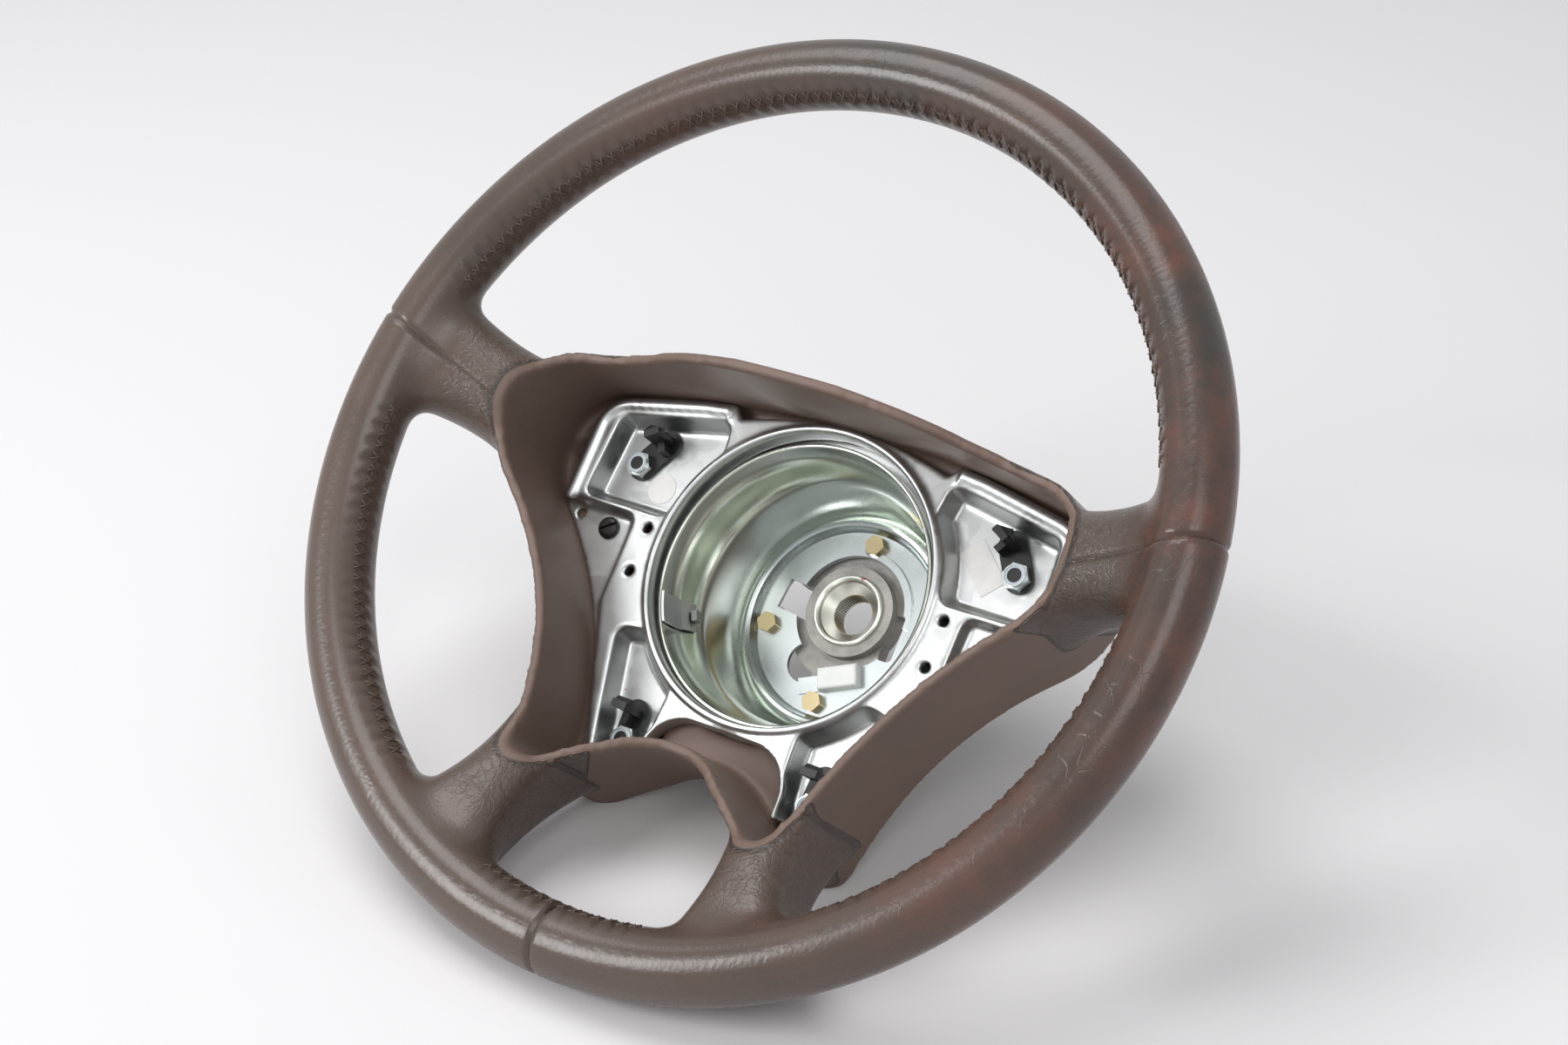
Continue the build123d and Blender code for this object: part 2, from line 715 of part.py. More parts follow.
def terminal_sleeve():
    """White insulating sleeve that covers the terminal's end."""
    seat = pot_floor_depth - base_sheet
    block = flat_block(sleeve_size, sleeve_place, terminal_turn, seat)
    block = fillet(block.edges().group_by(Axis.Y)[0], sleeve_size[2] * 0.25)
    return block - terminal()


def save(name, piece):
    """Write one named piece."""
    solids = piece if isinstance(piece, list) else [piece]
    children = [solid for item in solids for solid in item.solids()]
    export_step(Compound(children=children), f"parts/{name}.step")


def main():
    """Make every piece and write it under its own name."""
    os.makedirs("parts", exist_ok=True)
    save("rim_armature", both_sides(half_armature))
    save("padded_body", padded_body())
    for name, cover in zip(("leather_upper", "leather_right", "leather_left"), leather_covers()):
        save(name, cover)
    save("carrier_plate", carrier_plate())
    save("pot_flange", pot_flange())
    save("absorber_pot", absorber_pot())
    save("base_ring", base_ring())
    save("hub_casting", hub_casting())
    save("splined_boss", splined_boss())
    save("base_bolts", base_bolts())
    save("pad_studs", pad_studs())
    save("pad_nuts", pad_nuts())
    save("nut_inserts", nut_inserts())
    for row, nut, reach in (("upper", upper_nut, upper_clip_reach), ("lower", lower_nut, lower_clip_reach)):
        for hand, side in (("right", 1), ("left", -1)):
            save(f"pad_clip_{row}_{hand}", pad_clip(nut, reach, side))
    save("plate_screws", plate_screws())
    strip = strap()
    save("pot_strap", strip)
    save("strap_clip", strap_clip(strip))
    save("terminal", terminal())
    save("terminal_sleeve", terminal_sleeve())
    floor = pocket_floor()
    save("round_sticker", disc(sticker_radius, floor - paper, floor, sticker_place))
    save("paper_label", flat_block((*label_size, paper), label_place, label_turn, floor))


main()
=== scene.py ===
import math

import bmesh
import bpy
import numpy as np
from bpy.props import FloatProperty, FloatVectorProperty, IntProperty, PointerProperty
from mathutils import Matrix, Vector
from mathutils.bvhtree import BVHTree


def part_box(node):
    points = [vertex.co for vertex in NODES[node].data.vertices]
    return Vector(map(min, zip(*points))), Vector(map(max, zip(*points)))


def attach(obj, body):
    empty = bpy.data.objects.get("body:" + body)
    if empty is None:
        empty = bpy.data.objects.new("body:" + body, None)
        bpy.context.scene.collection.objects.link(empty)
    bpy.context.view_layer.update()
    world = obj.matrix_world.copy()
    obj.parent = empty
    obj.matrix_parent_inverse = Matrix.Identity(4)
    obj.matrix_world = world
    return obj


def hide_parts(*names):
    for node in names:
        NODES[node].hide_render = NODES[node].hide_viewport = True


bl_info = {
    "name": "Steering Wheel Dressing",
    "version": (1, 0, 0),
    "blender": (4, 5, 0),
    "location": "View3D > Sidebar > Wheel",
    "description": "Leather, moulded skirt, plated steel and stage for a car steering wheel",
    "category": "Object",
}

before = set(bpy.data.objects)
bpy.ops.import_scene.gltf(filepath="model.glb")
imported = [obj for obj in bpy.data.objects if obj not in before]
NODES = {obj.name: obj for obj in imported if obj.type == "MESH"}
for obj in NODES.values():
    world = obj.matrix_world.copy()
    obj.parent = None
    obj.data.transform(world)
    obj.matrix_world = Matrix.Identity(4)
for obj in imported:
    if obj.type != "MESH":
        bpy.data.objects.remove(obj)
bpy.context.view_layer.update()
LEATHER_NODES = ("leather_upper", "leather_left", "leather_right")
RIM_LOW, RIM_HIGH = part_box("rim_armature")
RIM_CENTRE_Z = (RIM_LOW.z + RIM_HIGH.z) / 2
CORE_RADIUS = 0.006
RIM_RADIUS = (RIM_HIGH.x - RIM_LOW.x) / 2 - CORE_RADIUS
RIM_PLANE_Y = RIM_LOW.y + CORE_RADIUS
MM_PER_M = 1000.0


class BodySizes(bpy.types.PropertyGroup):
    """Sizes of the covered body and its sewing."""

    voxel: FloatProperty(
        name="Skin cell", description="Cell of the blended skin", default=0.0016, unit="LENGTH"
    )
    blend_rounds: IntProperty(name="Blend rounds", description="Smoothing rounds over the spokes", default=14)
    lip_rounds: IntProperty(name="Lip rounds", description="Smoothing rounds over the skirt", default=5)
    even_rounds: IntProperty(
        name="Even rounds", description="Rounds that even the skin, size kept", default=20
    )
    fill_rounds: IntProperty(
        name="Fill rounds", description="Rounds that fill the spokes' corners", default=160
    )
    seam_height: FloatProperty(
        name="Seam height", description="Where the seam lines meet", default=-0.025, unit="LENGTH"
    )
    seam_slope: FloatProperty(name="Seam slope", description="Rise of the upper seams", default=0.351)
    seam_width: FloatProperty(
        name="Seam width", description="Half width of a seam groove", default=0.0011, unit="LENGTH"
    )
    seam_depth: FloatProperty(
        name="Seam depth", description="Depth of a seam groove", default=0.0011, unit="LENGTH"
    )
    sewing_angle: FloatProperty(
        name="Sewing line", description="Sewing line ahead of the rim's inner side",
        default=-0.38, subtype="ANGLE"
    )
    upper_spoke_angle: FloatProperty(
        name="Upper spokes", description="Upper spokes from twelve o'clock", default=1.43, subtype="ANGLE"
    )
    lower_spoke_angle: FloatProperty(
        name="Lower spokes", description="Lower spokes from twelve o'clock", default=2.74, subtype="ANGLE"
    )
    spoke_half_angle: FloatProperty(
        name="Spoke spread", description="Half the stretch of rim under a spoke",
        default=0.15, subtype="ANGLE"
    )
    pucker_pitch: FloatProperty(
        name="Pucker pitch", description="Spacing of the folds", default=0.0074, unit="LENGTH"
    )
    pucker_depth: FloatProperty(
        name="Pucker depth", description="Height of the folds", default=0.0005, unit="LENGTH"
    )
    stitch_pitch: FloatProperty(
        name="Stitch pitch", description="Spacing of the stitches", default=0.0052, unit="LENGTH"
    )
    thread_radius: FloatProperty(
        name="Thread radius", description="Half the thread", default=0.00031, unit="LENGTH"
    )
    plate_cell: FloatProperty(
        name="Plate cell", description="Cell of the plate's skin", default=0.0009, unit="LENGTH"
    )
    wall_growth: FloatProperty(
        name="Wall growth", description="Thickness added behind the plate's drawn walls",
        default=0.0014, unit="LENGTH"
    )
    plate_rounds: IntProperty(name="Plate rounds", description="Smoothing rounds over the plate", default=4)
    pot_sheet: FloatProperty(
        name="Pot sheet", description="Thickness of the pot", default=0.0015, unit="LENGTH"
    )
    pot_step: FloatProperty(
        name="Pot step", description="Rim radius less floor radius", default=0.0118, unit="LENGTH"
    )
    spline_teeth: IntProperty(name="Spline teeth", description="Teeth in the bore", default=56)
    spline_depth: FloatProperty(
        name="Spline depth", description="Height of a tooth", default=0.0006, unit="LENGTH"
    )


class WheelColours(bpy.types.PropertyGroup):
    """Colours of the wheel's finishes."""

    leather: FloatVectorProperty(
        name="Leather", description="Main leather", default=(0.104, 0.073, 0.058), subtype="COLOR"
    )
    # Painted shade: darker leather laid on the rim's right side.
    leather_shaded: FloatVectorProperty(
        name="Shaded leather", description="Leather darkened on the rim's right side as painted shade",
        default=(0.052, 0.033, 0.026), subtype="COLOR"
    )
    leather_red: FloatVectorProperty(
        name="Red leather", description="Rubbed patches", default=(0.155, 0.060, 0.040), subtype="COLOR"
    )
    leather_dark: FloatVectorProperty(
        name="Dark leather", description="Darkened patches", default=(0.042, 0.043, 0.037), subtype="COLOR"
    )
    moulded: FloatVectorProperty(
        name="Moulding", description="Hub skirt", default=(0.165, 0.110, 0.087), subtype="COLOR"
    )
    zinc: FloatVectorProperty(
        name="Galvanised", description="Carrier plate", default=(0.60, 0.615, 0.61), subtype="COLOR"
    )
    yellow_zinc: FloatVectorProperty(
        name="Yellow zinc", description="Pot", default=(0.70, 0.735, 0.665), subtype="COLOR"
    )
    gold: FloatVectorProperty(
        name="Gold zinc", description="Bolts", default=(0.47, 0.39, 0.23), subtype="COLOR"
    )
    paint: FloatVectorProperty(
        name="Paint", description="Dabs of paint", default=(0.36, 0.07, 0.05), subtype="COLOR"
    )
    casting: FloatVectorProperty(
        name="Casting", description="Hub casting", default=(0.52, 0.50, 0.47), subtype="COLOR"
    )


class StageSizes(bpy.types.PropertyGroup):
    """Camera, lamps and floor."""

    focal: FloatProperty(name="Lens", description="Focal length in millimetres", default=56.0)
    key_watts: FloatProperty(name="Key", description="Soft lamp overhead", default=22.0)
    left_watts: FloatProperty(name="Left", description="Soft lamp at the left", default=46.0)
    front_watts: FloatProperty(name="Front", description="Soft lamp in front", default=12.0)
    sky: FloatProperty(name="Sky", description="Strength of the world", default=0.45)
    backdrop: FloatProperty(
        name="Backdrop", description="World as seen and as mirrored in metal", default=0.85
    )
    floor_colour: FloatVectorProperty(
        name="Floor", description="Floor", default=(0.80, 0.79, 0.80), subtype="COLOR"
    )


class Socket:
    """A shader socket whose arithmetic adds Math nodes."""

    def __init__(self, tree, output):
        self.tree = tree
        self.output = output

    def node(self, kind, settings=None, inputs=None, output=0):
        """Add a node of any kind, with its settings and the values or links of its sockets."""
        made = self.tree.nodes.new(kind)
        for key, value in (settings or {}).items():
            if key == "stops":
                ramp = made.color_ramp.elements
                while len(ramp) < len(value):
                    ramp.new(0.5)
                for element, (place, level) in zip(ramp, value):
                    element.position = place
                    element.color = (level, level, level, 1.0)
            else:
                setattr(made, key, value)
        for key, value in (inputs or {}).items():
            if isinstance(value, Socket):
                self.tree.links.new(value.output, made.inputs[key])
            else:
                made.inputs[key].default_value = value
        return Socket(self.tree, made.outputs[output])

    def math(self, operation, first, second):
        """A Math node over two values."""
        return self.node("ShaderNodeMath", {"operation": operation}, {0: first, 1: second})

    def __add__(self, other):
        return self.math("ADD", self, other)

    __radd__ = __add__

    def __sub__(self, other):
        return self.math("SUBTRACT", self, other)

    def __rsub__(self, other):
        return self.math("SUBTRACT", other, self)

    def __mul__(self, other):
        return self.math("MULTIPLY", self, other)

    def __pow__(self, other):
        return self.math("POWER", self, other)

    def noise(self, scale, detail, roughness=0.55, distortion=0.0):
        """Noise over this vector, from 0 to 1."""
        values = {"Vector": self, "Scale": scale, "Detail": detail}
        values.update({"Roughness": roughness, "Distortion": distortion})
        return self.node("ShaderNodeTexNoise", {}, values)

    def cells(self, scale, feature="F1", output="Distance"):
        """Cells over this vector: the distance in them, or the colour of each."""
        values = {"Vector": self, "Scale": scale}
        return self.node("ShaderNodeTexVoronoi", {"feature": feature}, values, output)

    def scaled(self, scale, turn):
        """This vector stretched and turned."""
        return self.node("ShaderNodeMapping", {}, {"Vector": self, "Scale": scale, "Rotation": turn})

    def ramp(self, *stops):
        """This value through a ramp of (place, level)."""
        return self.node("ShaderNodeValToRGB", {"stops": stops}, {"Fac": self})

    def mix(self, first, second):
        """Two colours mixed by this value."""
        first, second = (c if isinstance(c, Socket) else (*c, 1.0) for c in (first, second))
        values = {"Factor": self, 6: first, 7: second}
        return self.node("ShaderNodeMix", {"data_type": "RGBA"}, values, output=2)

    def bump(self, distance, strength):
        """Normal over this height, in which one stands for the distance in metres."""
        values = {"Height": self, "Distance": distance, "Strength": strength}
        return self.node("ShaderNodeBump", {}, values)

    def mapped(self, low, high):
        """This value from low to high, brought to 0 to 1."""
        return self.node("ShaderNodeMapRange", {}, {"Value": self, "From Min": low, "From Max": high})

    def attribute(self, name):
        """A value stored on the mesh."""
        return self.node("ShaderNodeAttribute", {"attribute_name": name}, {}, output="Fac")


def finish(name, build, **constants):
    """New material: constants on the shader's sockets, and what build(place) returns linked to them."""
    material = bpy.data.materials.new(name)
    material.use_nodes = True
    tree = material.node_tree
    shader = tree.nodes["Principled BSDF"]
    for key, value in constants.items():
        shader.inputs[key.replace("_", " ").title().replace("Ior", "IOR")].default_value = value
    place = Socket(tree, tree.nodes.new("ShaderNodeTexCoord").outputs["Object"])
    for key, socket in build(place).items():
        tree.links.new(socket.output, shader.inputs[key])
    return material


def colours():
    return bpy.context.scene.wheel_colours


def sizes():
    return bpy.context.scene.wheel_sizes


# Finishes


def leather_look(place):
    """Colour, roughness and height of worn brown leather, with painted shade towards the rim's right side and
    in its furrows.
    """
    tint = colours()
    crease = place.attribute("crease")
    wear = place.attribute("wear")
    valley = pucker_valley(place)
    broad = place.noise(9.0, 3.0, 0.55).ramp((0.44, 0.0), (0.64, 1.0))
    patch = place.noise(13.0, 4.0, 0.6, 0.6).ramp((0.42, 0.0), (0.60, 1.0))
    fine = place.noise(60.0, 5.0, 0.7)
    red = (wear * 0.70 + 0.06) * patch * fine.ramp((0.34, 0.1), (0.60, 1.0))
    dark = broad * fine.ramp((0.28, 0.25), (0.70, 1.0)) * (wear * 0.4 + 0.55)
    # Painted shade: the leather turns darker towards the rim's right side; the same mask also places the real
    # rubbed patches and cracks.
    colour = (wear * 0.92).mix(tuple(tint.leather), tuple(tint.leather_shaded))
    colour = dark.mix(colour, tuple(tint.leather_dark))
    colour = red.mix(colour, tuple(tint.leather_red))
    sway = place.node("ShaderNodeTexNoise", {}, {"Vector": place, "Scale": 90.0}, output="Color")
    swayed = {0: sway, 1: (0.006, 0.006, 0.006), 2: place}
    wrinkle = place.node("ShaderNodeVectorMath", {"operation": "MULTIPLY_ADD"}, swayed)
    lines = wrinkle.cells(230.0, "DISTANCE_TO_EDGE").ramp((0.0, 1.0), (0.07, 0.0))
    folds = wrinkle.noise(120.0, 3.0, 0.6, 1.0).ramp((0.43, 0.0), (0.50, 1.0), (0.57, 0.0))
    stretched = wrinkle.scaled((1.0, 1.0, 0.55), (0.3, 0.2, 0.5))
    cracks = stretched.cells(170.0, "DISTANCE_TO_EDGE").ramp((0.0, 1.0), (0.035, 0.0))
    cracks = cracks * wear * place.noise(21.0, 2.0).ramp((0.50, 0.0), (0.62, 1.0))
    furrow = lines * (crease * 0.40 + 0.03) + folds * crease * 0.55 + cracks * 0.3
    # Painted shade: furrows, cracks and the valleys of the puckers darken the colour.
    colour = (furrow * 0.40 + valley * 0.5).mix(colour, tuple(0.30 * c for c in tint.leather))
    grain = place.cells(620.0).ramp((0.0, 1.0), (0.75, 0.0))
    pores = place.noise(1500.0, 2.0, 0.5)
    height = grain * (crease * 0.16 + 0.14) + pores * 0.12 - furrow * 1.1 - valley * 3.0
    rough = 0.20 + fine * 0.14 + grain * 0.05 + crease * 0.06 - broad * 0.04
    return colour, rough, height


def pucker_valley(place):
    """Furrows that the sewing draws into the leather ahead of the stitches, used for the bump and as painted
    shade in the colour.
    """
    along = place.attribute("along")
    ahead = place.attribute("ahead")
    jitter = place.noise(70.0, 2.0)
    phase = along * (2.0 * math.pi / (MM_PER_M * sizes().pucker_pitch)) + jitter * 7.0
    wave = (along.math("COSINE", phase, 0.0) * 0.5 + 0.5) ** 3.0
    window = ahead.ramp((0.02, 0.0), (0.09, 1.0), (0.26, 0.8), (0.60, 0.0))
    return wave * window * place.attribute("sewn") * place.noise(45.0, 2.0).ramp((0.35, 0.15), (0.62, 1.0))


def moulded_look(place):
    """Colour, roughness and height of the matt brown moulding."""
    tint = colours().moulded
    cloud = place.noise(16.0, 4.0, 0.6)
    shades = (tuple(0.86 * c for c in tint), tuple(1.10 * c for c in tint))
    colour = cloud.ramp((0.30, 0.0), (0.72, 1.0)).mix(*shades)
    height = place.noise(900.0, 3.0, 0.6) * 0.35 + place.noise(90.0, 2.0, 0.5) * 0.65
    return colour, 0.46 + cloud * 0.14, height


def cover_finish():
    """Leather and moulding that meet along a tucked edge, with dark seams."""

    def build(place):
        edge = place.attribute("leather_edge")
        share = edge.mapped(-0.25, 0.25)
        seam = place.attribute("seam").ramp((0.05, 0.0), (0.11, 1.0))
        tuck = edge.math("ABSOLUTE", edge, 0.0).mapped(0.25, 0.75)
        hide, hide_rough, hide_height = leather_look(place)
        foam, foam_rough, foam_height = moulded_look(place)
        line = tuck * 0.65 + 0.35
        line = line * (1.0 - share + share * (seam * 0.8 + 0.2))
        colour = share.mix(foam, hide)
        colour = line.mix((0.012, 0.009, 0.008), colour)
        rough = foam_rough + (hide_rough - foam_rough) * share
        height = foam_height + (hide_height - foam_height) * share + tuck * 2.2
        return {"Base Color": colour, "Roughness": rough, "Normal": height.bump(0.00022, 0.75)}

    return finish("covered_body", build, specular_ior_level=0.5)


def plated_finish(name, tint, rough, vary, dull=0.86, spangle=0.0, marks=()):
    """Plated steel with clouding, faint spangle, handling marks and dabs of red paint."""

    def build(place):
        cloud = place.noise(26.0, 4.0, 0.6)
        flakes = place.node("ShaderNodeSeparateColor", {}, {0: place.cells(150.0, output="Color")})
        flake_share = spangle * 4.0
        mottle = cloud.ramp((0.32, 0.0), (0.70, 1.0)) * (1.0 - flake_share) + flakes * flake_share
        colour = mottle.mix(tuple(dull * c for c in tint), tuple(tint))
        scratch = place.scaled((30.0, 30.0, 900.0), (0.4, 0.3, 0.2)).noise(1.0, 2.0, 0.5)
        ragged = place.noise(420.0, 2.0, 0.6)
        for centre, radius in marks:
            ends = {0: place, 1: centre}
            away = place.node("ShaderNodeVectorMath", {"operation": "DISTANCE"}, ends, output="Value")
            dab = (away * (1.0 / radius) + ragged * 0.8).ramp((0.55, 1.0), (0.72, 0.0))
            colour = (dab * 0.85).mix(colour, tuple(colours().paint))
        return {
            "Base Color": colour,
            "Roughness": rough + cloud * vary + flakes * spangle,
            "Normal": (scratch * 0.6 + cloud * 0.4).bump(0.00003, 0.35),
        }

    return finish(name, build, metallic=1.0)


def cast_finish():
    """Rough grey casting."""
    tint = colours().casting

    def build(place):
        sand = place.noise(700.0, 4.0, 0.7)
        stain = place.noise(60.0, 3.0, 0.6)
        colour = stain.ramp((0.35, 0.0), (0.70, 1.0)).mix(tuple(0.6 * c for c in tint), tuple(tint))
        return {"Base Color": colour, "Roughness": 0.50 + sand * 0.2, "Normal": sand.bump(0.0004, 0.8)}

    return finish("grey_casting", build, metallic=0.55)


def plain_finish(name, tint, rough, metallic=0.0):
    """Plastic, paper, thread or dark steel with a faint uneven skin."""
    grain = 0.00008

    def build(place):
        cloud = place.noise(120.0, 3.0, 0.6)
        skin = place.noise(1400.0, 2.0, 0.6)
        colour = cloud.ramp((0.3, 0.0), (0.75, 1.0)).mix(tuple(0.88 * c for c in tint), tuple(tint))
        return {"Base Color": colour, "Roughness": rough + cloud * 0.12, "Normal": skin.bump(grain, 0.5)}

    return finish(name, build, metallic=metallic)


def dress(material, *names):
    """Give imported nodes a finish."""
    for name in names:
        slots = NODES[name].data.materials
        slots.clear()
        slots.append(material)


def new_piece(name, mesh, material, slot_name, *stands_for):
    """Link a finished mesh as a piece of the wheel."""
    mesh.materials.clear()
    mesh.materials.append(material)
    piece = bpy.data.objects.new(name, mesh)
    bpy.context.scene.collection.objects.link(piece)
    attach(piece, "root")
    if stands_for:
        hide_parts(*stands_for)
    return piece


def shade_smooth(mesh):
    mesh.polygons.foreach_set("use_smooth", [True] * len(mesh.polygons))


# Covered body


def node_bmesh(*names):
    """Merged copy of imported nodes."""
    bm = bmesh.new()
    for name in names:
        bm.from_mesh(NODES[name].data)
    bmesh.ops.remove_doubles(bm, verts=bm.verts, dist=1e-6)
    return bm


def node_tree(*names):
    bm = node_bmesh(*names)
    tree = BVHTree.FromBMesh(bm)
    bm.free()
    return tree


def evaluated(mesh, *modifiers, weights=None):
    """The mesh after some modifiers, each given as (type, settings)."""
    holder = bpy.data.objects.new("holder", mesh)
    bpy.context.scene.collection.objects.link(holder)
    if weights is not None:
        group = holder.vertex_groups.new(name="amount")
        for level in np.unique(weights):
            group.add([int(i) for i in np.nonzero(weights == level)[0]], float(level), "REPLACE")
    for kind, settings in modifiers:
        modifier = holder.modifiers.new(kind.lower(), kind)
        for key, value in settings.items():
            setattr(modifier, key, value)
    graph = bpy.context.evaluated_depsgraph_get()
    result = bpy.data.meshes.new_from_object(holder.evaluated_get(graph))
    bpy.data.objects.remove(holder)
    return result


def read_points(mesh):
    points = np.empty(len(mesh.vertices) * 3)
    mesh.vertices.foreach_get("co", points)
    return points.reshape(-1, 3)


def read_normals(mesh):
    normals = np.empty(len(mesh.vertices) * 3)
    mesh.vertex_normals.foreach_get("vector", normals)
    return normals.reshape(-1, 3)


def write_points(mesh, points):
    mesh.vertices.foreach_set("co", points.ravel())
    mesh.update()


def store(mesh, name, values):
    layer = mesh.attributes.get(name) or mesh.attributes.new(name, "FLOAT", "POINT")
    layer.data.foreach_set("value", values.astype(np.float32))


def distances(tree, points):
    """Distance from each point to a surface."""
    return np.array([tree.find_nearest(p)[3] for p in points.tolist()])


def rim_place(points):
    """Clockwise angle from twelve o'clock, angle from the rim's inner side, distance from its centre line."""
    across, up = points[:, 0], points[:, 2] - RIM_CENTRE_Z
    radius = np.hypot(across, up)
    depth = points[:, 1] - RIM_PLANE_Y
    inward = RIM_RADIUS - radius
    return np.arctan2(across, up), np.arctan2(depth, inward), np.hypot(inward, depth)


def bell(values, width):
    return np.exp(-((values / width) ** 2))


def seam_planes():
    """Point, normal and side test of the two upper seams and the one at six o'clock."""
    size = sizes()
    off_hub = 0.1
    apex = Vector((0.0, 0.0, size.seam_height))
    planes = []
    for side in (1.0, -1.0):
        normal = Vector((-side * size.seam_slope, 0.0, 1.0)).normalized()
        planes.append((apex, normal, lambda points, side=side: side * points[:, 0] > off_hub))
    planes.append((apex, Vector((1.0, 0.0, 0.0)), lambda points: points[:, 2] < -off_hub))
    return planes


def seam_distance(points):
    """Distance to the nearest seam."""
    nearest = np.full(len(points), 1.0)
    for origin, normal, beside in seam_planes():
        away = np.abs((points - np.array(origin)) @ np.array(normal))
        nearest = np.where(beside(points), np.minimum(nearest, away), nearest)
    return nearest


def cut_seams(mesh):
    """Cut the skin along each seam and on both sides of it, so that the grooves run straight."""
    width = sizes().seam_width
    reach = 0.006
    bm = bmesh.new()
    bm.from_mesh(mesh)
    for origin, normal, beside in seam_planes():
        for shift in (-1.6, -0.8, 0.0, 0.8, 1.6):
            centres = np.array([face.calc_center_median() for face in bm.faces])
            close = np.abs((centres - np.array(origin)) @ np.array(normal)) < reach
            bm.faces.ensure_lookup_table()
            faces = [bm.faces[int(i)] for i in np.nonzero(close & beside(centres))[0]]
            edges = list({edge for face in faces for edge in face.edges})
            verts = list({vert for face in faces for vert in face.verts})
            cut = origin + shift * width * normal
            bmesh.ops.bisect_plane(bm, geom=verts + edges + faces, dist=1e-6, plane_co=cut, plane_no=normal)
    bm.to_mesh(mesh)
    bm.free()


def wrap_planes():
    """Slanted edges of the leather on the skirt's right wall.

    Each has a point at the lip, a point behind it and the wall's normal, then a point on its spoke.
    """
    return (
        (((0.121, 0.017, -0.0058), (0.131, 0.074, 0.016), (0.88, 0.0, -0.47)), (0.150, 0.030)),
        (((0.090, 0.017, 0.0555), (0.110, 0.074, 0.050), (0.15, 0.0, 0.99)), (0.150, 0.030)),
        (((0.069, 0.017, -0.088), (0.0642, 0.074, -0.1095), (0.975, 0.0, -0.22)), (0.060, -0.125)),
        (((0.0285, 0.019, -0.101), (0.0565, 0.074, -0.120), (-0.563, 0.0, -0.826)), (0.060, -0.125)),
    )


def leather_wrap(points, normals):
    """Distance inside the leather where it wraps from a spoke on to the outer face of the skirt."""
    folded = points.copy()
    folded[:, 0] = np.abs(folded[:, 0])
    sides = []
    for (start, stop, wall), spoke in wrap_planes():
        start, stop = (np.array(p) + np.array([0.0, RIM_PLANE_Y, 0.0]) for p in (start, stop))
        normal = np.cross(stop - start, np.array(wall))
        normal /= np.linalg.norm(normal)
        toward = np.array([spoke[0], start[1], spoke[1]]) - start
        sides.append((folded - start) @ (normal * np.sign(normal @ toward)))
    upper = np.minimum(sides[0], sides[1])
    lower = np.minimum(sides[2], sides[3])
    hub_middle = np.array([0.0, -0.015])
    least_facing, reach_per_facing = 0.35, 0.008
    outward = points[:, [0, 2]] - hub_middle
    outward /= np.linalg.norm(outward, axis=1)[:, None]
    facing = np.sum(outward * normals[:, [0, 2]], axis=1)
    return np.minimum(np.maximum(upper, lower), reach_per_facing * (facing - least_facing))


def spoke_gap(angle):
    """Angle along the rim to the middle of the nearest spoke."""
    size = sizes()
    gaps = [np.abs(np.abs(angle) - spoke) for spoke in (size.upper_spoke_angle, size.lower_spoke_angle)]
    return np.minimum(*gaps)


def clear_of_spokes(angle, reach):
    """One on the open rim, falling to nothing where a spoke runs into it."""
    fade, rim_reach, reach_fade = 0.06, 0.0185, 0.002
    beside = np.clip((spoke_gap(angle) - sizes().spoke_half_angle) / fade, 0.0, 1.0)
    return beside * np.clip((rim_reach - reach) / reach_fade, 0.0, 1.0)


def sewn_fold(along, ahead):
    """Height of the folds that the sewing draws up, and of the groove along it."""
    size = sizes()
    groove_depth, groove_width = 0.0004, 0.07
    fold_middle, fold_width = 0.26, 0.20
    uneven = 0.6 + 0.4 * np.sin(along * 50.0 + 1.1) * np.sin(along * 128.0 + 0.4)
    wave = np.cos(2.0 * math.pi * along / size.pucker_pitch)
    folds = wave * bell(np.abs(ahead) - fold_middle, fold_width) * size.pucker_depth * uneven
    return folds - groove_depth * bell(ahead, groove_width)


def armature_core():
    """The steel armature, cut off inside the skirt's wall where its feet run behind the plate."""
    bm = node_bmesh("rim_armature")
    deep = RIM_PLANE_Y + 0.030
    upper_cut, lower_cut, between_arms = 0.1285, -0.1065, -0.06
    cuts = [((side * upper_cut, 0.0, 0.0), (side, 0.0, 0.0), side, True) for side in (1.0, -1.0)]
    cuts += [((0.0, 0.0, lower_cut), (0.0, 0.0, -1.0), side, False) for side in (1.0, -1.0)]
    for point, outward, side, is_upper in cuts:
        arm = []
        for face in bm.faces:
            middle = face.calc_center_median()
            if middle.y > deep and side * middle.x > 0.0 and (middle.z > between_arms) == is_upper:
                arm.append(face)
        around = {item for face in arm for item in (*face.verts, *face.edges)}
        bmesh.ops.bisect_plane(
            bm, geom=arm + list(around), dist=1e-6, plane_co=point, plane_no=outward, clear_inner=True
        )
    bmesh.ops.holes_fill(bm, edges=[edge for edge in bm.edges if edge.is_boundary], sides=0)
    return bm


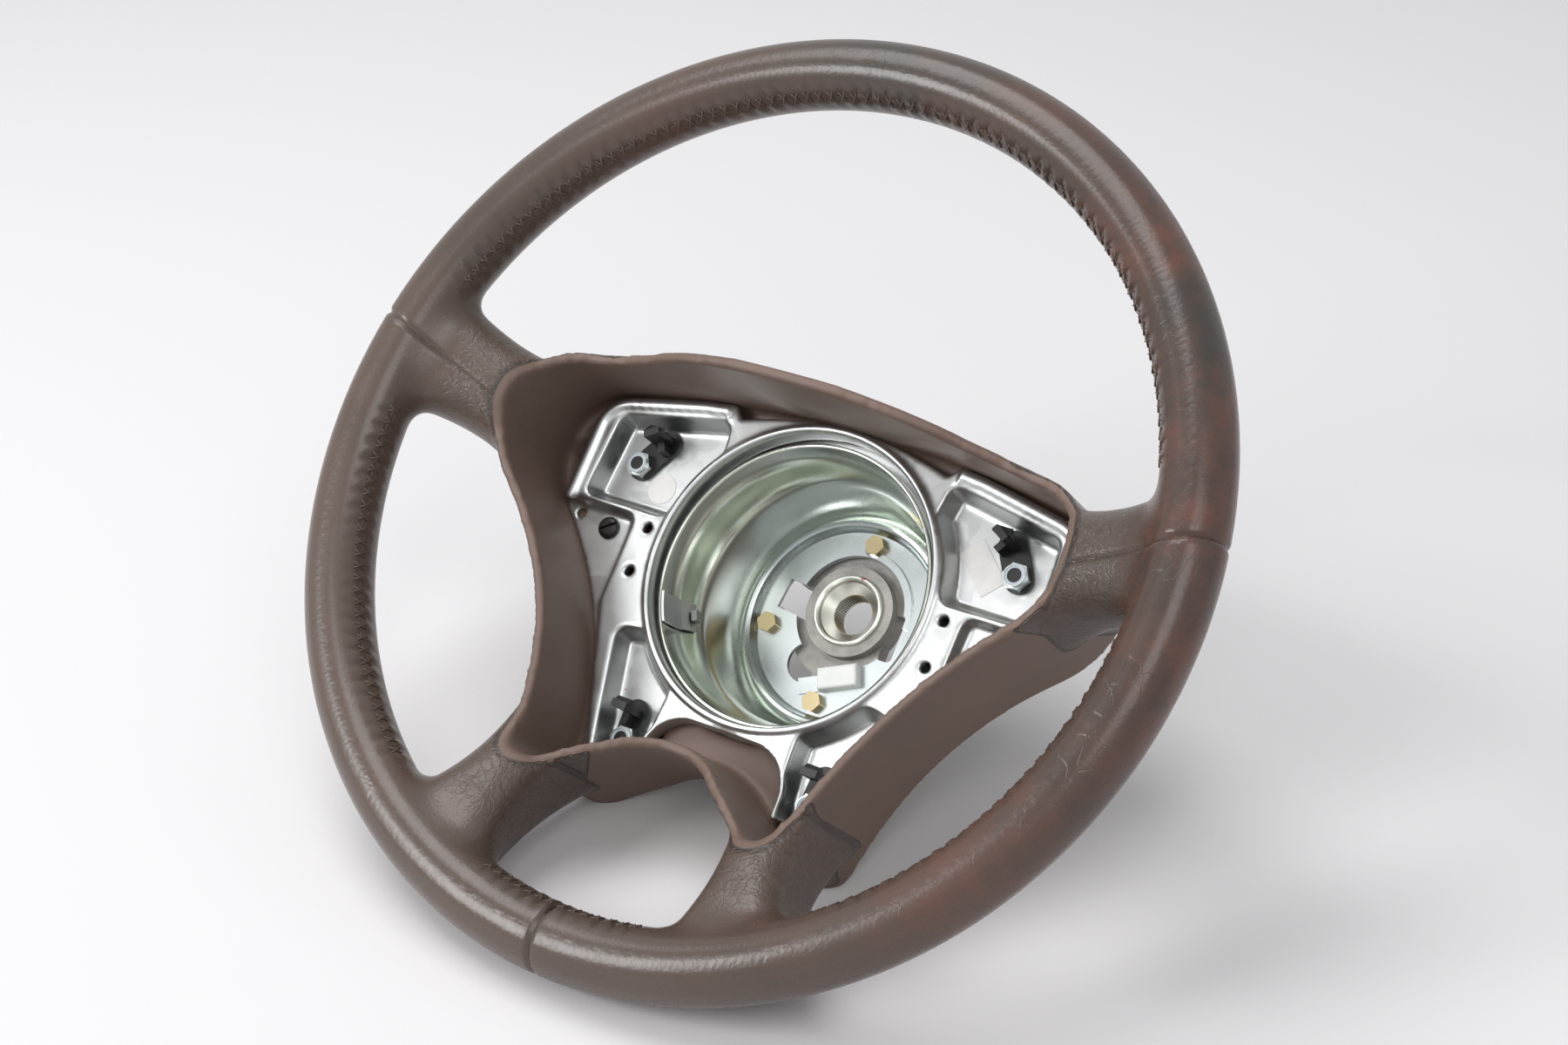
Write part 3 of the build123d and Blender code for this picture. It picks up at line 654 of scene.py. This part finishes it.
def blended_skin():
    """One skin over rim, spokes and skirt, smoothed most where the spokes run out."""
    size = sizes()
    rough = bpy.data.meshes.new("rough")
    core = armature_core()
    core.to_mesh(rough)
    core.free()
    bm = node_bmesh("padded_body", *LEATHER_NODES)
    bm.from_mesh(rough)
    bm.to_mesh(rough)
    bm.free()
    skin = evaluated(rough, ("REMESH", {"mode": "VOXEL", "voxel_size": size.voxel, "adaptivity": 0.0}))
    bpy.data.meshes.remove(rough)
    to_leather = distances(node_tree(*LEATHER_NODES), read_points(skin))
    full_reach, fade = 0.002, 0.006
    weights = np.round(np.clip(1.0 - (to_leather - full_reach) / fade, 0.0, 1.0), 1)
    spoke_smooth = {"factor": 0.5, "iterations": size.blend_rounds, "vertex_group": "amount"}
    skin = evaluated(skin, ("SMOOTH", spoke_smooth), weights=weights)
    there_and_back = [("SMOOTH", {"factor": factor, "iterations": 1}) for factor in (0.5, -0.52)]
    lip_smooth = ("SMOOTH", {"factor": 0.5, "iterations": size.lip_rounds})
    skin = evaluated(skin, *there_and_back * size.even_rounds, lip_smooth)
    fill_corners(skin)
    cut_seams(skin)
    return skin


def spoke_corner(points):
    """One where a spoke runs into the rim, falling to nothing along both."""
    angle, _, reach = rim_place(points)
    half, spread, spoke_reach, reach_fade = sizes().spoke_half_angle, 2.6, 0.042, 0.014
    along_rim = np.clip((spread * half - spoke_gap(angle)) / half, 0.0, 1.0)
    return along_rim * np.clip((spoke_reach - reach) / reach_fade, 0.0, 1.0)


def fill_corners(skin):
    """Fill the hollows where the spokes run into the rim; what bulges stays as it is."""
    pairs = np.empty(len(skin.edges) * 2, dtype=np.int32)
    skin.edges.foreach_get("vertices", pairs)
    first, second = pairs.reshape(-1, 2).T
    points = read_points(skin)
    factor = 0.5
    share = factor * spoke_corner(points)
    near = share[first] + share[second] > 0.0
    first, second = first[near], second[near]
    total = len(points)
    joined = np.maximum(np.bincount(first, minlength=total) + np.bincount(second, minlength=total), 1)
    for _ in range(sizes().fill_rounds):
        mean = np.stack([
            np.bincount(first, points[second, axis], total) + np.bincount(second, points[first, axis], total)
            for axis in range(3)
        ], axis=1) / joined[:, None]
        lift = np.sum((mean - points) * read_normals(skin), axis=1)
        move = np.where((lift > 0.0)[:, None], mean - points, 0.0)
        points = points + share[:, None] * move
        write_points(skin, points)


def covered_body_mesh():
    """Blended skin with seams and folds, and how far inside the leather each of its points is."""
    size = sizes()
    skin = blended_skin()
    points = read_points(skin)
    normals = read_normals(skin)
    to_leather = distances(node_tree(*LEATHER_NODES), points)
    to_foam = distances(node_tree("padded_body"), points)
    inside = np.maximum(to_foam - to_leather, leather_wrap(points, normals))
    edge_fade, edge_limit, seam_limit = 0.0006, 0.004, 0.01
    rim_reach, spoke_fade, wear_and_shade_angle = 0.015, 0.014, 1.1
    cover = np.clip(inside / edge_fade, 0.0, 1.0)
    angle, inner, reach = rim_place(points)
    along = angle * RIM_RADIUS
    clear = clear_of_spokes(angle, reach)
    ahead = size.sewing_angle - inner
    to_seam = seam_distance(points)
    height = cover * clear * sewn_fold(along, ahead)
    height -= cover * size.seam_depth * bell(to_seam, size.seam_width)
    write_points(skin, points + normals * height[:, None])
    off_rim = np.clip((reach - rim_reach) / spoke_fade, 0.0, 1.0)
    store(skin, "leather_edge", np.clip(inside, -edge_limit, edge_limit) * MM_PER_M)
    store(skin, "seam", np.clip(to_seam, 0.0, seam_limit) * MM_PER_M)
    store(skin, "crease", off_rim * cover)
    store(skin, "along", along * MM_PER_M)
    store(skin, "ahead", ahead)
    store(skin, "sewn", clear * cover)
    # Mask peaking at the rim's upper right: real wear for the rubbed patches and cracks, and painted shade
    # for the darker right side.
    store(skin, "wear", (0.5 + 0.5 * np.cos(angle - wear_and_shade_angle)) ** 2 * (1.0 - off_rim))
    return skin, inside


def split_skin(skin, panels):
    """New meshes of the skin, each with the faces of one panel number."""
    pieces = []
    for number in range(panels.max() + 1):
        bm = bmesh.new()
        bm.from_mesh(skin)
        drop = [face for face in bm.faces if panels[face.index] != number]
        bmesh.ops.delete(bm, geom=drop, context="FACES")
        mesh = bpy.data.meshes.new("panel")
        bm.to_mesh(mesh)
        bm.free()
        shade_smooth(mesh)
        pieces.append(mesh)
    return pieces


def face_means(mesh, values):
    """Mean of a value of the points over each face."""
    return np.array([values[list(face.vertices)].mean() for face in mesh.polygons])


def sewing_point(angle, inner):
    """Point near the leather, by the angle from three o'clock and the one from the rim's inner side."""
    inner_reach, front_reach = 0.0145, 0.0155
    radius = RIM_RADIUS - inner_reach * math.cos(inner)
    depth = RIM_PLANE_Y + front_reach * math.sin(inner)
    return Vector((radius * math.cos(angle), depth, RIM_CENTRE_Z + radius * math.sin(angle)))


# Steps


class WHEEL_OT_covered_body(bpy.types.Operator):
    """Build the leather covers and the moulded skirt"""

    bl_idname = "wheel.covered_body"
    bl_label = "Covered Body"

    def execute(self, context):
        size = sizes()
        skin, inside = covered_body_mesh()
        points = read_points(skin)
        across = face_means(skin, points[:, 0])
        above = face_means(skin, points[:, 2] - size.seam_height - size.seam_slope * np.abs(points[:, 0]))
        panels = np.where(above > 0.0, 1, np.where(across > 0.0, 2, 3))
        panels = np.where(face_means(skin, inside) > 0.0, panels, 0)
        skirt, upper, right, left = split_skin(skin, panels)
        cover = cover_finish()
        new_piece("hub_skirt", skirt, cover, "moulded_foam", "padded_body", "rim_armature")
        for node, mesh in (("leather_upper", upper), ("leather_right", right), ("leather_left", left)):
            new_piece(node + "_cover", mesh, cover, "leather", node)
        bpy.data.meshes.remove(skin)
        return {"FINISHED"}


class WHEEL_OT_rim_stitching(bpy.types.Operator):
    """Sew crossed stitches along the rim's inner side"""

    bl_idname = "wheel.rim_stitching"
    bl_label = "Rim Stitching"

    def execute(self, context):
        size = sizes()
        mean_reach, half_spread, skin_limit = 0.014, 0.17, 0.0012
        raised = 0.6 * size.thread_radius
        bm = bmesh.new()
        for node in LEATHER_NODES:
            bm.from_mesh(bpy.data.objects[node + "_cover"].data)
        skin = BVHTree.FromBMesh(bm)
        bm.free()
        count = int(2.0 * math.pi * (RIM_RADIUS - mean_reach) / size.stitch_pitch)
        bm = bmesh.new()
        clock = math.pi / 2 - 2.0 * math.pi * (np.arange(count) + 0.5) / count
        clock = np.arctan2(np.sin(clock), np.cos(clock))
        sewn = np.nonzero(clear_of_spokes(clock, np.zeros(count)) > 0.5)[0]
        for index in sewn.tolist():
            for lean in (-0.5, 0.5):
                hits = []
                for end in (-1.0, 1.0):
                    angle = 2.0 * math.pi * (index + 0.5 + 0.5 * lean * end) / count
                    hits.append(skin.find_nearest(sewing_point(angle, size.sewing_angle + half_spread * end)))
                if max(hit[3] for hit in hits) > skin_limit:
                    continue
                start, stop = (hit[0] + raised * hit[1] for hit in hits)
                run = stop - start
                turn = run.to_track_quat("Z", "Y").to_matrix().to_4x4()
                place = Matrix.Translation((start + stop) / 2) @ turn
                bmesh.ops.create_cone(
                    bm, cap_ends=True, segments=6, radius1=size.thread_radius, radius2=size.thread_radius,
                    depth=run.length, matrix=place,
                )
        mesh = bpy.data.meshes.new("rim_stitching")
        bm.to_mesh(mesh)
        bm.free()
        shade_smooth(mesh)
        thread = plain_finish("sewing_thread", tuple(1.1 * c for c in colours().leather), 0.5)
        new_piece("rim_stitching", mesh, thread, "leather")
        return {"FINISHED"}


class WHEEL_OT_bore_splines(bpy.types.Operator):
    """Cut fine splines round the boss's bore"""

    bl_idname = "wheel.bore_splines"
    bl_label = "Bore Splines"

    def execute(self, context):
        size = sizes()
        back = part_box("splined_boss")[1].y
        bore, root_gap, length, setback, sheet = 0.009, 0.0003, 0.0098, 0.0001, 0.0004
        root = bore + root_gap
        bm = bmesh.new()
        bmesh.ops.create_circle(bm, cap_ends=False, segments=size.spline_teeth * 4, radius=root)
        for index, vert in enumerate(bm.verts):
            if index % 4 in (1, 2):
                vert.co *= (bore - size.spline_depth) / root
        ring = bmesh.ops.extrude_edge_only(bm, edges=bm.edges[:])
        moved = [item for item in ring["geom"] if isinstance(item, bmesh.types.BMVert)]
        bmesh.ops.translate(bm, verts=moved, vec=(0.0, 0.0, length))
        turn = Matrix.Rotation(math.pi / 2, 4, "X")
        place = Matrix.Translation((0.0, back - setback, 0.0)) @ turn
        bmesh.ops.transform(bm, matrix=place, verts=bm.verts)
        bmesh.ops.recalc_face_normals(bm, faces=bm.faces)
        bmesh.ops.reverse_faces(bm, faces=bm.faces)
        mesh = bpy.data.meshes.new("bore_splines")
        bm.to_mesh(mesh)
        bm.free()
        stained = plated_finish("bore_steel", (0.40, 0.35, 0.25), 0.30, 0.12)
        piece = new_piece("bore_splines", mesh, stained, "machined")
        wall = piece.modifiers.new("wall", "SOLIDIFY")
        wall.thickness = sheet
        wall.offset = -1.0
        return {"FINISHED"}


class WHEEL_OT_pressed_plate(bpy.types.Operator):
    """Round the folds of the pressed carrier plate"""

    bl_idname = "wheel.pressed_plate"
    bl_label = "Pressed Plate"

    def execute(self, context):
        size = sizes()
        bm = node_bmesh("carrier_plate")
        behind = bmesh.ops.duplicate(bm, geom=bm.verts[:] + bm.edges[:] + bm.faces[:])["geom"]
        behind = [item for item in behind if isinstance(item, bmesh.types.BMVert)]
        bmesh.ops.translate(bm, verts=behind, vec=(0.0, size.wall_growth, 0.0))
        sharp = bpy.data.meshes.new("sharp")
        bm.to_mesh(sharp)
        bm.free()
        plate = evaluated(
            sharp,
            ("REMESH", {"mode": "VOXEL", "voxel_size": size.plate_cell, "adaptivity": 0.0}),
            ("SMOOTH", {"factor": 0.5, "iterations": size.plate_rounds}),
        )
        bpy.data.meshes.remove(sharp)
        shade_smooth(plate)
        new_piece("pressed_plate", plate, bpy.data.materials["plate_zinc"], "galvanised", "carrier_plate")
        return {"FINISHED"}


class WHEEL_OT_drawn_pot(bpy.types.Operator):
    """Spin the deep-drawn pot with rounded steps"""

    bl_idname = "wheel.drawn_pot"
    bl_label = "Drawn Pot"

    def execute(self, context):
        low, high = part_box("absorber_pot")
        size = sizes()
        axis = Vector((0.0, 0.0, (low.z + high.z) / 2))
        rim = (high.x - low.x) / 2 - size.pot_sheet
        drop = high.y - low.y - size.pot_sheet
        ledge, rounds, steps = 0.012, 20, 128
        shares = (
            (0.0, 0.0), (0.0, 0.10), (0.01, 0.16), (0.05, 0.21), (0.14, 0.26), (0.26, 0.31), (0.38, 0.36),
            (0.48, 0.41), (0.54, 0.46), (0.57, 0.52), (0.60, 0.60), (0.66, 0.72), (0.76, 0.84),
            (0.88, 0.93), (1.0, 1.0),
        )
        corners = [(rim - size.pot_step * inward, low.y + drop * down, axis.z) for inward, down in shares]
        corners.append((rim - size.pot_step - ledge, low.y + drop, axis.z))
        bm = bmesh.new()
        rows = [bm.verts.new(corner) for corner in corners]
        edges = [bm.edges.new(pair) for pair in zip(rows, rows[1:])]
        bmesh.ops.subdivide_edges(bm, edges=edges, cuts=3)
        inner = [vert for vert in bm.verts if len(vert.link_edges) == 2]
        axes = {"use_axis_x": True, "use_axis_y": True, "use_axis_z": True}
        for _ in range(rounds):
            bmesh.ops.smooth_vert(bm, verts=inner, factor=0.5, **axes)
        bmesh.ops.spin(
            bm, geom=bm.verts[:] + bm.edges[:], cent=axis, axis=(0.0, 1.0, 0.0), angle=2.0 * math.pi,
            steps=steps, use_merge=True, use_duplicate=False,
        )
        bmesh.ops.recalc_face_normals(bm, faces=bm.faces)
        mesh = bpy.data.meshes.new("drawn_pot")
        bm.to_mesh(mesh)
        bm.free()
        shade_smooth(mesh)
        pot = new_piece("drawn_pot", mesh, bpy.data.materials["pot_zinc"], "yellow_zinc", "absorber_pot")
        wall = pot.modifiers.new("wall", "SOLIDIFY")
        wall.thickness = size.pot_sheet
        wall.offset = 1.0
        return {"FINISHED"}


class WHEEL_OT_metalwork(bpy.types.Operator):
    """Plate and finish the metal pieces"""

    bl_idname = "wheel.metalwork"
    bl_label = "Metalwork"

    def execute(self, context):
        tint = colours()
        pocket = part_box("round_sticker")[1].y
        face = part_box("splined_boss")[0].y
        dots = (((-0.0784, pocket, 0.0425), 0.002), ((-0.0562, pocket, -0.0676), 0.002))
        smear = (((0.0015, face, 0.0150), 0.0050),)
        zinc = plated_finish("plate_zinc", tint.zinc, 0.24, 0.16, dull=0.80, spangle=0.08, marks=dots)
        dress(zinc, "carrier_plate", "pot_flange", "pot_strap")
        dress(plated_finish("pot_zinc", tint.yellow_zinc, 0.12, 0.10, dull=0.82), "absorber_pot")
        blue = plated_finish("blue_zinc", (0.56, 0.60, 0.605), 0.20, 0.16)
        dress(blue, "base_ring", "pad_nuts", "terminal")
        dress(plated_finish("gold_zinc", tint.gold, 0.25, 0.14), "base_bolts")
        turned = plated_finish("turned_steel", (0.86, 0.85, 0.80), 0.24, 0.14, dull=0.84, marks=smear)
        dress(turned, "splined_boss")
        dress(cast_finish(), "hub_casting")
        dark = plain_finish("dark_steel", (0.035, 0.034, 0.033), 0.32, metallic=0.6)
        dress(dark, "plate_screws", "pad_studs", "rim_armature")
        dress(plain_finish("grey_clip", (0.30, 0.31, 0.30), 0.35, metallic=0.9), "strap_clip")
        return {"FINISHED"}


class WHEEL_OT_small_parts(bpy.types.Operator):
    """Finish the plastic and paper pieces"""

    bl_idname = "wheel.small_parts"
    bl_label = "Small Parts"

    def execute(self, context):
        clips = [name for name in NODES if name.startswith("pad_clip")]
        dress(plain_finish("black_plastic", (0.012, 0.012, 0.013), 0.40), *clips)
        dress(plain_finish("blue_nylon", (0.62, 0.70, 0.78), 0.35), "nut_inserts")
        dress(plain_finish("white_nylon", (0.90, 0.90, 0.88), 0.40), "terminal_sleeve")
        dress(plain_finish("white_paper", (0.92, 0.91, 0.88), 0.60), "round_sticker", "paper_label")
        return {"FINISHED"}


class WHEEL_OT_stage(bpy.types.Operator):
    """Set the camera, lamps, floor and world"""

    bl_idname = "wheel.stage"
    bl_label = "Stage"

    def execute(self, context):
        scene = context.scene
        back = Vector((0.50177, -0.84805, -0.17042))
        floor_up = Vector((0.0, -0.740, 0.672)).normalized()
        self.add_camera(scene, back)
        self.add_floor(scene, floor_up)
        self.add_lamps(scene, floor_up, back)
        self.light_world(scene)
        scene.view_settings.view_transform = "Standard"
        return {"FINISHED"}

    def add_camera(self, scene, back):
        """Camera where the photograph was taken from."""
        data = bpy.data.cameras.new("camera")
        data.lens = scene.wheel_stage.focal
        data.sensor_width = 36.0
        data.clip_start = 0.05
        camera = bpy.data.objects.new("camera", data)
        scene.collection.objects.link(camera)
        right = Vector((0.82790, 0.41376, 0.37865))
        up = Vector((-0.25060, -0.33109, 0.90971))
        turn = Matrix((right, up, back)).transposed().to_4x4()
        camera.matrix_world = Matrix.Translation((0.48341, -0.90968, -0.15130)) @ turn
        scene.camera = camera

    def add_floor(self, scene, floor_up):
        """Floor that the wheel lies on."""
        half_floor, floor_gap = 6.0, 0.0012
        rest = Vector((0.0, RIM_PLANE_Y + 0.0125, -0.181))
        bm = bmesh.new()
        bmesh.ops.create_grid(bm, x_segments=1, y_segments=1, size=half_floor)
        turn = floor_up.to_track_quat("Z", "Y").to_matrix().to_4x4()
        place = Matrix.Translation(rest - floor_gap * floor_up) @ turn
        bmesh.ops.transform(bm, matrix=place, verts=bm.verts)
        mesh = bpy.data.meshes.new("floor")
        bm.to_mesh(mesh)
        bm.free()
        floor = bpy.data.objects.new("floor", mesh)
        scene.collection.objects.link(floor)
        mesh.materials.append(self.floor_finish(scene.wheel_stage.floor_colour))

    def add_lamps(self, scene, floor_up, back):
        """Soft lamps overhead, at the left and in front."""
        stage = scene.wheel_stage
        forward = (back - back.dot(floor_up) * floor_up).normalized()
        side = forward.cross(floor_up) * -1.0
        target = Vector((0.0, RIM_PLANE_Y + 0.04, 0.0))
        lamps = (
            ("key", stage.key_watts, 2.0 * floor_up - 0.55 * side - 0.4 * forward, 1.3),
            ("left", stage.left_watts, 1.5 * floor_up - 2.6 * side + 0.8 * forward, 1.2),
            ("front", stage.front_watts, 1.7 * floor_up + 0.35 * side + 1.5 * forward, 1.2),
        )
        for name, watts, offset, width in lamps:
            data = bpy.data.lights.new(name, "AREA")
            data.energy = watts
            data.size = width
            lamp = bpy.data.objects.new(name, data)
            lamp.location = target + offset
            lamp.rotation_mode = "QUATERNION"
            lamp.rotation_quaternion = (-offset).to_track_quat("-Z", "Y")
            scene.collection.objects.link(lamp)

    def light_world(self, scene):
        """Pale world, brighter where it is seen or mirrored."""
        stage = scene.wheel_stage
        world = bpy.data.worlds.new("studio")
        scene.world = world
        world.use_nodes = True
        backdrop = world.node_tree.nodes["Background"]
        backdrop.inputs["Color"].default_value = (0.86, 0.87, 0.88, 1.0)
        rays = world.node_tree.nodes.new("ShaderNodeLightPath")
        camera_ray = Socket(world.node_tree, rays.outputs["Is Camera Ray"])
        glossy_ray = Socket(world.node_tree, rays.outputs["Is Glossy Ray"])
        seen = camera_ray.math("MAXIMUM", camera_ray, glossy_ray)
        strength = seen * (stage.backdrop - stage.sky) + stage.sky
        world.node_tree.links.new(strength.output, backdrop.inputs["Strength"])

    def floor_finish(self, tint):
        """Pale floor, seen from above only."""
        material = bpy.data.materials.new("pale_floor")
        material.use_nodes = True
        tree = material.node_tree
        shader = tree.nodes["Principled BSDF"]
        shader.inputs["Base Color"].default_value = (*tint, 1.0)
        shader.inputs["Roughness"].default_value = 0.6
        shader.inputs["Specular IOR Level"].default_value = 0.2
        geometry = Socket(tree, tree.nodes.new("ShaderNodeNewGeometry").outputs["Backfacing"])
        clear = geometry.node("ShaderNodeBsdfTransparent")
        shaded = Socket(tree, shader.outputs[0])
        both = geometry.node("ShaderNodeMixShader", {}, {0: geometry, 1: shaded, 2: clear})
        tree.links.new(both.output, tree.nodes["Material Output"].inputs["Surface"])
        return material


class WHEEL_PT_panel(bpy.types.Panel):
    """Lists the steps that dress the wheel"""

    bl_idname = "WHEEL_PT_panel"
    bl_label = "Steering Wheel"
    bl_space_type = "VIEW_3D"
    bl_region_type = "UI"
    bl_category = "Wheel"

    def draw(self, context):
        for group in ("wheel_sizes", "wheel_colours", "wheel_stage"):
            block = self.layout.column(align=True)
            settings = getattr(context.scene, group)
            for key in settings.__annotations__:
                block.prop(settings, key)
        for operator in OPERATORS:
            self.layout.operator(operator.bl_idname)


GROUPS = {"wheel_sizes": BodySizes, "wheel_colours": WheelColours, "wheel_stage": StageSizes}
OPERATORS = (
    WHEEL_OT_stage,
    WHEEL_OT_metalwork,
    WHEEL_OT_small_parts,
    WHEEL_OT_pressed_plate,
    WHEEL_OT_drawn_pot,
    WHEEL_OT_bore_splines,
    WHEEL_OT_covered_body,
    WHEEL_OT_rim_stitching,
)


def register():
    for name, group in GROUPS.items():
        bpy.utils.register_class(group)
        setattr(bpy.types.Scene, name, PointerProperty(type=group))
    for cls in (*OPERATORS, WHEEL_PT_panel):
        bpy.utils.register_class(cls)


def unregister():
    for cls in reversed((*OPERATORS, WHEEL_PT_panel)):
        bpy.utils.unregister_class(cls)
    for name, group in GROUPS.items():
        delattr(bpy.types.Scene, name)
        bpy.utils.unregister_class(group)


def main():
    register()
    bpy.ops.wheel.stage()
    bpy.ops.wheel.metalwork()
    bpy.ops.wheel.small_parts()
    bpy.ops.wheel.pressed_plate()
    bpy.ops.wheel.drawn_pot()
    bpy.ops.wheel.bore_splines()
    bpy.ops.wheel.covered_body()
    bpy.ops.wheel.rim_stitching()


if __name__ == "__main__":
    main()
